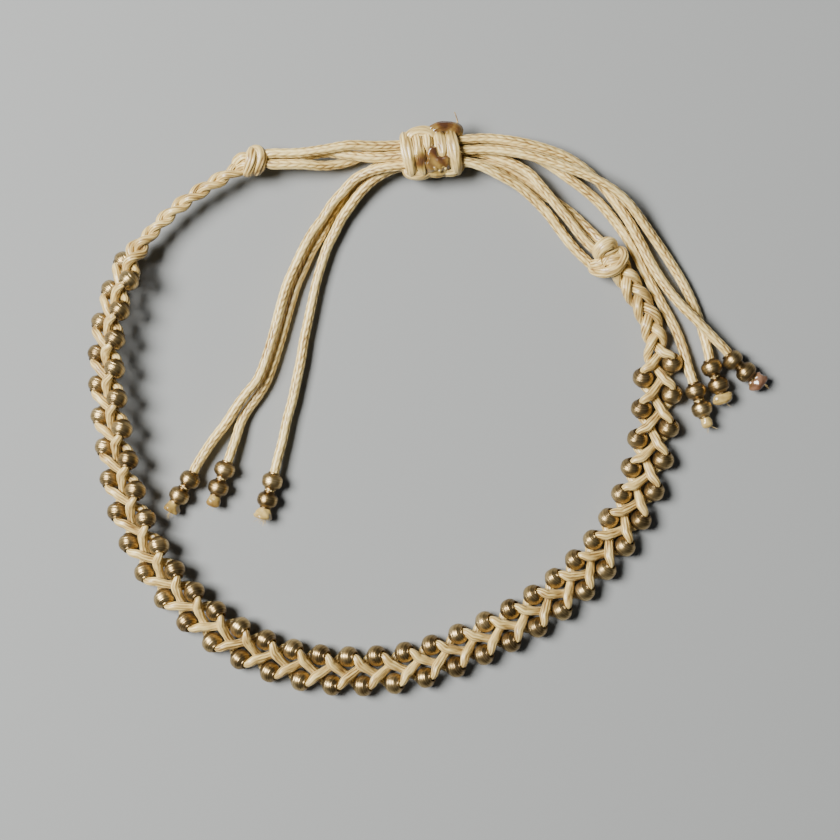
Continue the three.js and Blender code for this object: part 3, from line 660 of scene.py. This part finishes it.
class Finish:
    """A material under construction: every node comes from add."""

    def __init__(self, name):
        self.material = bpy.data.materials.new(name)
        self.material.use_nodes = True
        self.tree = self.material.node_tree
        self.tree.nodes.clear()

    def add(self, kind, settings=None, sockets=None, out=0):
        """One node: its settings first, then a value or a link for each of its sockets."""
        node = self.tree.nodes.new(kind)
        for name, value in (settings or {}).items():
            if name == "stops":
                self.set_stops(node.color_ramp.elements, value)
            else:
                setattr(node, name, value)
        for name, value in (sockets or {}).items():
            if isinstance(value, Mask):
                self.tree.links.new(value.socket, node.inputs[name])
            else:
                node.inputs[name].default_value = value
        return Mask(self, node.outputs[out]) if node.outputs else None

    @staticmethod
    def set_stops(elements, stops):
        while len(elements) < len(stops):
            elements.new(1.0)
        for element, (place, colour) in zip(elements, stops):
            element.position = place
            element.color = (*colour, 1.0)

    def mark(self, name):
        return self.add("ShaderNodeAttribute", {"attribute_name": name}, out="Fac")

    def noise(self, place, scale, detail=2.0):
        return self.add("ShaderNodeTexNoise", sockets={"Vector": place, "Scale": scale, "Detail": detail})

    def ramp(self, value, stops):
        return self.add("ShaderNodeValToRGB", {"stops": stops}, {"Fac": value})

    def blend(self, share, first, second):
        """A colour between two; these socket numbers are the ones that the node uses for colours."""
        return self.add("ShaderNodeMix", {"data_type": "RGBA"}, {0: share, 6: first, 7: second}, out=2)

    def clamp(self, value):
        return self.add("ShaderNodeClamp", sockets={"Value": value})

    def bump(self, height, strength, distance):
        sockets = {"Strength": strength, "Distance": distance, "Height": height}
        return self.add("ShaderNodeBump", sockets=sockets)

    def close(self, sockets):
        shader = self.add("ShaderNodeBsdfPrincipled", sockets=sockets)
        self.add("ShaderNodeOutputMaterial", sockets={"Surface": shader})
        return self.material


def waxed_cord_finish():
    finish = Finish("waxed_polyester_cord")
    place = finish.add("ShaderNodeTexCoord", out="Object")
    run = finish.add("ShaderNodeUVMap", {"uv_map": "run"})
    lengthwise = finish.add("ShaderNodeMapping", sockets={"Vector": run, "Scale": (26.0, 1.3, 1.0)})
    relief = finish.mark("relief")
    burn = finish.mark("burn")
    streaks = finish.noise(lengthwise, 1.0, 3.0)
    blotches = finish.noise(place, 420.0)
    grime = finish.noise(place, 1500.0, 3.0)
    # The relief term darkens the creases between stitches and filaments: painted shade. Streaks and blotches
    # are the cord's own uneven colour.
    tone = finish.clamp(relief * 0.95 + streaks * 0.55 + blotches * 0.7 - 0.86)
    cream_and_crease_shade = finish.ramp(tone, [
        (0.0, (0.19, 0.1, 0.028)), (0.18, (0.42, 0.275, 0.082)), (0.42, (0.69, 0.5, 0.18)),
        (0.7, (0.9, 0.715, 0.305)), (1.0, (0.98, 0.865, 0.5)),
    ])
    scorch = finish.clamp(burn * 1.1 + (grime - 0.5) * 0.6)
    amber = finish.ramp(scorch, [
        (0.0, (0.78, 0.62, 0.28)), (0.3, (0.5, 0.36, 0.11)), (0.55, (0.27, 0.17, 0.043)),
        (0.8, (0.12, 0.056, 0.015)), (1.0, (0.06, 0.024, 0.01)),
    ])
    rosy = finish.mark("rosy")
    rosy_brown = finish.ramp(grime, [(0.35, (0.09, 0.038, 0.024)), (0.65, (0.25, 0.135, 0.085))])
    browned = finish.blend(rosy, amber, rosy_brown)
    melted = finish.clamp(burn * 2.2 + (grime - 0.5) * 0.7 * burn)
    colour = finish.blend(melted, cream_and_crease_shade, browned)
    height = streaks * 0.8 + grime * 0.5
    return finish.close({
        "Base Color": colour,
        "Roughness": finish.clamp(0.4 + (grime - 0.5) * 0.3 - melted * 0.24),
        "Coat Weight": finish.clamp(melted * 0.5 + 0.25),
        "Coat Roughness": 0.16,
        "Sheen Weight": 0.12,
        "Sheen Roughness": 0.4,
        "Normal": finish.bump(height, 0.35, 0.00004),
    })


def antique_brass_finish():
    finish = Finish("antique_brass")
    place = finish.add("ShaderNodeTexCoord", out="Object")
    run = finish.add("ShaderNodeUVMap", {"uv_map": "run"})
    turned = finish.add("ShaderNodeMapping", sockets={"Vector": run, "Scale": (0.5, 6.5, 1.0)})
    rings = finish.noise(turned, 1.0, 3.0)
    patina = finish.noise(place, 900.0, 3.0)
    worn = finish.mark("worn")
    tone = finish.mark("tone")
    hollow = finish.mark("hollow")
    grooves = finish.clamp((rings - 0.5) * 2.6 + 0.5)
    shade = finish.clamp(patina * 0.25 + grooves * 0.34 + worn * 0.22 + tone * 0.2 - 0.08)
    bronze = finish.ramp(shade, [
        (0.0, (0.05, 0.03, 0.012)), (0.33, (0.19, 0.125, 0.055)), (0.6, (0.48, 0.345, 0.155)),
        (1.0, (0.96, 0.78, 0.45)),
    ])
    # Near black inside the holes: painted shade in the bore, not the brass's own colour.
    colour = finish.blend(hollow, bronze, (0.02, 0.012, 0.006, 1.0))
    return finish.close({
        "Base Color": colour,
        "Metallic": finish.clamp(1.0 - (1 - patina) ** 4.0 * 0.8),
        "Roughness": finish.clamp(0.25 + patina * 0.08 + rings * 0.05),
        "Normal": finish.bump(grooves, 1.0, 0.00003),
    })


CORD_FINISH = waxed_cord_finish()
BRASS_FINISH = antique_brass_finish()

# ---- Camera, light and floor -------------------------------------------------------------------

camera = placed("camera", bpy.data.cameras.new("camera"))
camera.location = (3.5 * MM, -0.95 * MM, 200 * MM)
camera.data.sensor_width = 36
camera.data.lens = 90
camera.data.clip_start = 0.005
bpy.context.scene.camera = camera


def soft_light(name, where, size, power, colour):
    """A square soft box at a place in metres, aimed at the middle of the scene."""
    lamp = bpy.data.lights.new(name, "AREA")
    lamp.shape = "SQUARE"
    lamp.size = size
    lamp.energy = power
    lamp.color = colour
    holder = placed(name, lamp)
    holder.location = where
    holder.rotation_euler = (-Vector(where)).to_track_quat("-Z", "Y").to_euler()


soft_light("window_light", (-0.25, 0.07, 0.33), size=0.19, power=5.5, colour=(1.0, 0.985, 0.96))
soft_light("bounce_light", (0.2, -0.1, 0.4), size=0.3, power=0.06, colour=(0.92, 0.96, 1.0))
world = bpy.data.worlds.new("studio")
world.use_nodes = True
sky = world.node_tree.nodes["Background"].inputs
sky["Color"].default_value = (0.93, 0.96, 1.0, 1.0)
sky["Strength"].default_value = 0.03
bpy.context.scene.world = world

FLOOR_REACH = 2  # metres out to each side
floor_finish = Finish("pale_floor").close({"Base Color": (0.26, 0.27, 0.27, 1.0), "Roughness": 0.9})
floor_mesh = bpy.data.meshes.new("floor")
floor_corners = [(x * FLOOR_REACH, y * FLOOR_REACH, 0) for x, y in ((-1, -1), (1, -1), (1, 1), (-1, 1))]
floor_mesh.from_pydata(floor_corners, [], [(0, 1, 2, 3)])
floor_mesh.materials.append(floor_finish)
floor = placed("floor", floor_mesh)

# ---- Loose cords, tail beads and melted tips ---------------------------------------------------

def tail_points(tail):
    """The middles of both tail beads and of the melted tip."""
    return [np.array((*tail[part], TAIL_Z)) for part in ("first", "second", "tip")]


def melted_tip(tail):
    """The cord's end, melted to a hard drop that keeps the last bead on."""
    _, second, tip = tail_points(tail)
    axis = unit(tip - second)
    side = unit(np.cross(axis, UPWARD))
    up = np.cross(side, axis)
    places, radii = np.array(tail["sections"]).T
    fine = np.linspace(places[0], places[-1], 22)
    size = np.interp(fine, places, radii)
    size[-1] *= 0.35
    angle = angles_round(28)
    start = chance.uniform(0, 6, 3)
    lumps = (
        0.06 * np.cos(2 * angle + start[0])[None]
        + 0.05 * np.cos(3 * angle[None] + start[1] + 4 * fine[:, None])
        + 0.035 * np.cos(5 * angle[None] + start[2] - 7 * fine[:, None])
    )
    reach = size[:, None] * (1 + tail["lumps"] * lumps)
    rings = (
        tip + axis * fine[:, None, None]
        + side * (np.cos(angle)[None] * reach)[..., None]
        + up * (np.sin(angle)[None] * reach * tail["flat"])[..., None]
    )
    burn = np.clip(tail["burn"] * (0.8 + 0.35 * ease(places[0], places[-1], fine)), 0, 1)[:, None]
    shapes = [skin(rings, fine - fine[0], {"relief": 0.75, "burn": burn, "rosy": tail["rosy"]})]
    for _ in range(tail["fray"]):
        spin, spread = chance.uniform(0, 2 * math.pi), chance.uniform(0.2, 0.95)
        away = side * math.cos(spin) + up * math.sin(spin)
        begin = tip + axis * (places[-1] - 0.12) + away * np.ptp(places) * 0.28 * spread
        length, curl = chance.uniform(0.3, 0.75), chance.uniform(-0.15, 0.15)
        shapes.append(fibre(begin, axis + away * spread * 0.9, length, curl))
    return shapes


for cord_name, route in LOOSE_CORDS.items():
    tail = TAILS[cord_name]
    first, second, tip = tail_points(tail)
    line = lying_line([*route, first, second, tip - unit(tip - second) * CORD_IN_TIP], CORD_STEP)
    cord_piece = piece_of(
        f"plaited_{cord_name}", [stitched(line, CORD_RADIUS)], CORD_FINISH, [cord_name],
    )
    beads = [bead(first, second - first), bead(second, tip - first)]
    bead_piece = piece_of(f"{tail['node']}_beads", beads, BRASS_FINISH, [tail["node"]])
    tip_piece = piece_of(f"{tail['node']}_melted_tip", melted_tip(tail), CORD_FINISH)

# ---- The plait and its beads -------------------------------------------------------------------

BEADED_NODES = [f"beaded_braid_{i:02d}" for i in range(1, 13)]
PLAIN_NODES = ["plain_braid_left", "plain_braid_right"]


def plaited_strand(strand):
    """One strand from knot to knot, drawn in through its beads and opening to a leaf between them."""
    turn = np.arange(STRAND_START, STRAND_END, STRAND_STEP)
    line = strand_point(turn, strand)
    seat = strand + HALF_ROUND * np.round((turn - strand) / HALF_ROUND)
    seated = (seat >= 0) & (seat <= LAST_BEAD_TURN)
    aside = np.abs(turn - seat)
    centre, travel = bead_seat(seat, strand)
    held = (seated * (1 - ease(*BEAD_LETS_GO, aside)))[:, None]
    line = line * (1 - held) + (centre + travel * (turn - seat)[:, None]) * held
    _, outward, through = plait_frame(turn)
    tilt = (math.pi / 2 - math.radians(STRAND_TILT) * np.sin(strand_phase(turn, strand)))[:, None]
    thin_way = through * np.cos(tilt) + outward * np.sin(tilt)
    among_beads = ease(-1.5, -0.4, turn) * (1 - ease(LAST_BEAD_TURN + 0.4, LAST_BEAD_TURN + 1.5, turn))
    fullness = PLAIN_FULLNESS + (1 - PLAIN_FULLNESS) * among_beads
    leaf = np.where(seated, ease(*LEAF_OPENS, aside), 0.9) * fullness
    dive = np.where(seated, ease(*STRAND_DIVES, aside), 0.3)
    drawn_in = tightened(TIGHT_STRAND, turn)
    half_width = (STRAND_HALF + LEAF_WIDENS * leaf - DIVE_NARROWS * dive) * drawn_in
    half_thickness = (STRAND_HALF + LEAF_THICKENS * leaf) * drawn_in
    return bundle(line, thin_way, half_width, half_thickness)


for strand in range(STRANDS):
    nodes = (PLAIN_NODES + BEADED_NODES) if strand == 0 else ()
    piece_of(f"plaited_strand_{strand + 1}", [plaited_strand(strand)], CORD_FINISH, nodes)

for row_name, turns, behind in (
    ("outer_bead_row", np.arange(0, LAST_BEAD_TURN + 1), 0),
    ("inner_bead_row", np.arange(0.5, LAST_BEAD_TURN), HALF_ROUND),
):
    beads = []
    for turn in turns:
        strand = int((turn + behind) % STRANDS)
        centre, travel = bead_seat(float(turn), strand)
        beads.append(bead(centre, travel + chance.normal(0, BEAD_WOBBLE, 3)))
    piece_of(row_name, beads, BRASS_FINISH)

# ---- Overhand knots ----------------------------------------------------------------------------

def band_line(half_width, half_height, squareness, along, slant, count):
    """A closed line round the X axis, round where squareness is 2 and squarer above, slanted about Z."""
    angle = angles_round(count) - math.pi / 2
    side = half_width * np.sign(np.cos(angle)) * np.abs(np.cos(angle)) ** (2 / squareness)
    up = half_height * np.sign(np.sin(angle)) * np.abs(np.sin(angle)) ** (2 / squareness)
    loop = np.stack([np.zeros(count), side, up], axis=1)
    closed = np.vstack([loop, loop[:1]])
    loop = even_steps(closed, run_of(closed)[-1] / count)[:-1]
    away = unit(loop)
    spin = turned_about_z(slant)
    return loop @ spin.T + (along, 0, 0), away @ spin.T


def overhand_knot(knot):
    """The knot's core and the bands pulled round it."""
    fine = np.linspace(-knot["length"] / 2, knot["length"] / 2, 18)
    size = knot["core"] * np.sqrt(np.clip(1 - (fine / (knot["length"] * 0.56)) ** 4, 0.02, 1))
    angle = angles_round(32)
    reach = size[:, None] * (1 + 0.05 * np.cos(FILAMENTS * angle)[None])
    rings = np.stack([
        np.broadcast_to(fine[:, None], reach.shape), np.cos(angle) * reach, np.sin(angle) * reach,
    ], axis=-1)
    # The core gets a low relief, so it comes out dark brown: painted shade deep in the knot between its bands.
    shapes = [skin(rings, fine - fine[0], {"relief": 0.3, "burn": 0.0})]
    for along, radius, slant, half_width, half_thickness in knot["bands"]:
        line, away = band_line(radius, radius, 2.0, along, slant, count=110)
        shapes.append(bundle(line, away, half_width, half_thickness, sides=KNOT_SIDES, closed=True))
    return [moved(shape, knot) for shape in shapes]


def knot_turn(half_width, half_thickness, points):
    """One turn of cord over a knot, thin where it comes out from under the others and where it goes in."""
    line = lying_line(points, 0.08)
    inside = np.mean(line, axis=0) - (0, 0, 1.6)
    share = np.linspace(0, 1, len(line))
    taper = 0.62 + 0.38 * np.sin(math.pi * share) ** 0.5
    return bundle(
        line, unit(line - inside), half_width * taper, half_thickness, sides=KNOT_SIDES, depth=KNOT_TURN_DEPTH,
    )


for knot_name, knot in OVERHAND_KNOTS.items():
    shapes = overhand_knot(knot) + [knot_turn(*KNOT_TURNS[turn]) for turn in knot["turns"]]
    piece_of(f"{knot_name}_bands", shapes, CORD_FINISH, [knot_name])

# ---- Sliding knot ------------------------------------------------------------------------------

def scorched(shape):
    """A shape of the sliding knot, browned round its scorched places before it is moved."""
    x, y, z = shape["points"].T
    burn = shape["marks"]["burn"]
    for along, side, reach, strength in SCORCHES:
        scorch = strength * (1 - ease(0, reach, np.hypot(x - along, y - side)))
        burn = np.maximum(burn, scorch * (z > UNBURNT_BELOW))
    return {**shape, "marks": {**shape["marks"], "burn": burn}}


def wrap(along, slant, half_width, half_thickness, runs_out):
    """One wrap of the sliding knot, widest on top and below, and narrow past the side at which it runs out."""
    line, away = band_line(SLIDE_HALF_WIDTH, SLIDE_HALF_HEIGHT, SLIDE_SQUARENESS, along, slant, count=150)
    leaf = 1 - 0.28 * np.abs(line[:, 1] / SLIDE_HALF_WIDTH) ** 2
    if runs_out is not None:
        narrowed = 0.45 + 0.55 * ease(runs_out - 0.4, runs_out + 0.6, line[:, 1])
        leaf = leaf * np.where(line[:, 2] > 0, narrowed, 1)
    thickness = half_thickness * np.clip(leaf + 0.3, 0, 1)
    return bundle(line, away, half_width * leaf, thickness, sides=KNOT_SIDES, closed=True, depth=WRAP_DEPTH)


def bight(side, along, length, reach, height, burn):
    """One turned-back end at a side of the sliding knot."""
    outer, half = reach - CORD / 2, length / 2
    arm = [
        (half * 0.9, outer - 0.75, height - 0.5), (half, outer - 0.3, height - 0.1), (half / 2, outer, height),
    ]
    back = [(along - far, side * out, up) for far, out, up in arm]
    forth = [(along + far, side * out, up) for far, out, up in arm[::-1]]
    line = lying_line(back + forth, 0.09)
    away = np.broadcast_to((0.0, 0.35 * side, 1.0), line.shape)
    return bundle(line, away, CORD / 2 + 0.06, CORD / 2, sides=KNOT_SIDES, burn=burn, depth=WRAP_DEPTH)


def melted_sheet(along, side, half_long, half_wide, burn):
    """Cord that melted over the wraps and set as a glossy skin, thin at its edge."""
    share = np.linspace(1, 0.03, 26)[:, None]
    angle = angles_round(56)[None, :]
    square = (np.cos(angle) ** 4 + np.sin(angle) ** 4) ** -0.25
    edge = square * (
        1 + 0.08 * np.cos(3 * angle + 1.1) + 0.06 * np.cos(5 * angle + 0.4) + 0.03 * np.cos(9 * angle)
    )
    x = along + half_long * share * edge * np.cos(angle)
    y = side + half_wide * share * edge * np.sin(angle)
    half_width, half_height = SLIDE_HALF_WIDTH + 0.42, SLIDE_HALF_HEIGHT + 0.44
    arch = np.clip(1 - np.abs(y / half_width) ** SLIDE_SQUARENESS, 0, 1) ** (1 / SLIDE_SQUARENESS)
    ripple = 0.07 * np.sin(3.1 * x + 1) * np.sin(2.7 * y + 0.5) + 0.035 * np.sin(6.3 * x + 2.2 * y)
    edge_drop = 0.34 * ease(0.75, 1.0, share)
    dip = 0.3 * ease(-0.75, -0.3, y) * ease(0.45, 0.75, x)
    z = half_height * arch - edge_drop + ripple - dip
    burnt = burn + 0.2 * np.sin(1.7 * x + 0.6) * np.cos(1.9 * y + 0.3) + 0.08 * np.sin(5 * x + 3 * y)
    marks = {"relief": 0.8, "burn": np.clip(burnt, 0.3, 1)}
    return skin(np.stack([x, y, z], axis=-1), share[::-1, 0], marks)


def melted_bubble(along, side, height, size, burn):
    """A small drop that rose and set in the melted cord."""
    rise = np.linspace(0.05, math.pi - 0.05, 12)[:, None]
    angle = angles_round(20)[None, :]
    start = chance.uniform(0, 6, 2)
    lumps = 1 + 0.14 * np.cos(2 * angle + start[0]) + 0.1 * np.cos(3 * angle + start[1] + rise)
    level = np.sin(rise) * lumps * size
    up = np.broadcast_to(height - np.cos(rise) * size * 0.8, level.shape)
    rings = np.stack([along + np.cos(angle) * level, side + np.sin(angle) * level, up], axis=-1)
    return skin(rings, rise[:, 0], {"relief": 0.9, "burn": burn})


melt = [
    melted_sheet(along=0.6, side=-0.72, half_long=1.14, half_wide=1.28, burn=0.68),
    *(melted_bubble(*drop) for drop in BUBBLES),
    fibre((2.6, 1.5, 0.6), (0.45, 1.0, 0.1), length=1.9, curl=-0.9, width=0.2),
    fibre((1.9, -0.1, 1.9), (1.0, 0.1, 0.1), length=1.1, curl=0.5),
    fibre((-2.3, -1.2, 1.7), (-0.6, -0.8, 0.1), length=0.7, curl=0.2),
]
knot_cords = [wrap(*each) for each in SLIDE_WRAPS] + [bight(*each) for each in SLIDE_BIGHTS]
for piece_name, shapes, nodes in (
    ("sliding_knot_wraps", [scorched(shape) for shape in knot_cords], ["sliding_knot"]),
    ("sliding_knot_melt", melt, ()),
):
    piece_of(piece_name, [moved(shape, SLIDE) for shape in shapes], CORD_FINISH, nodes)
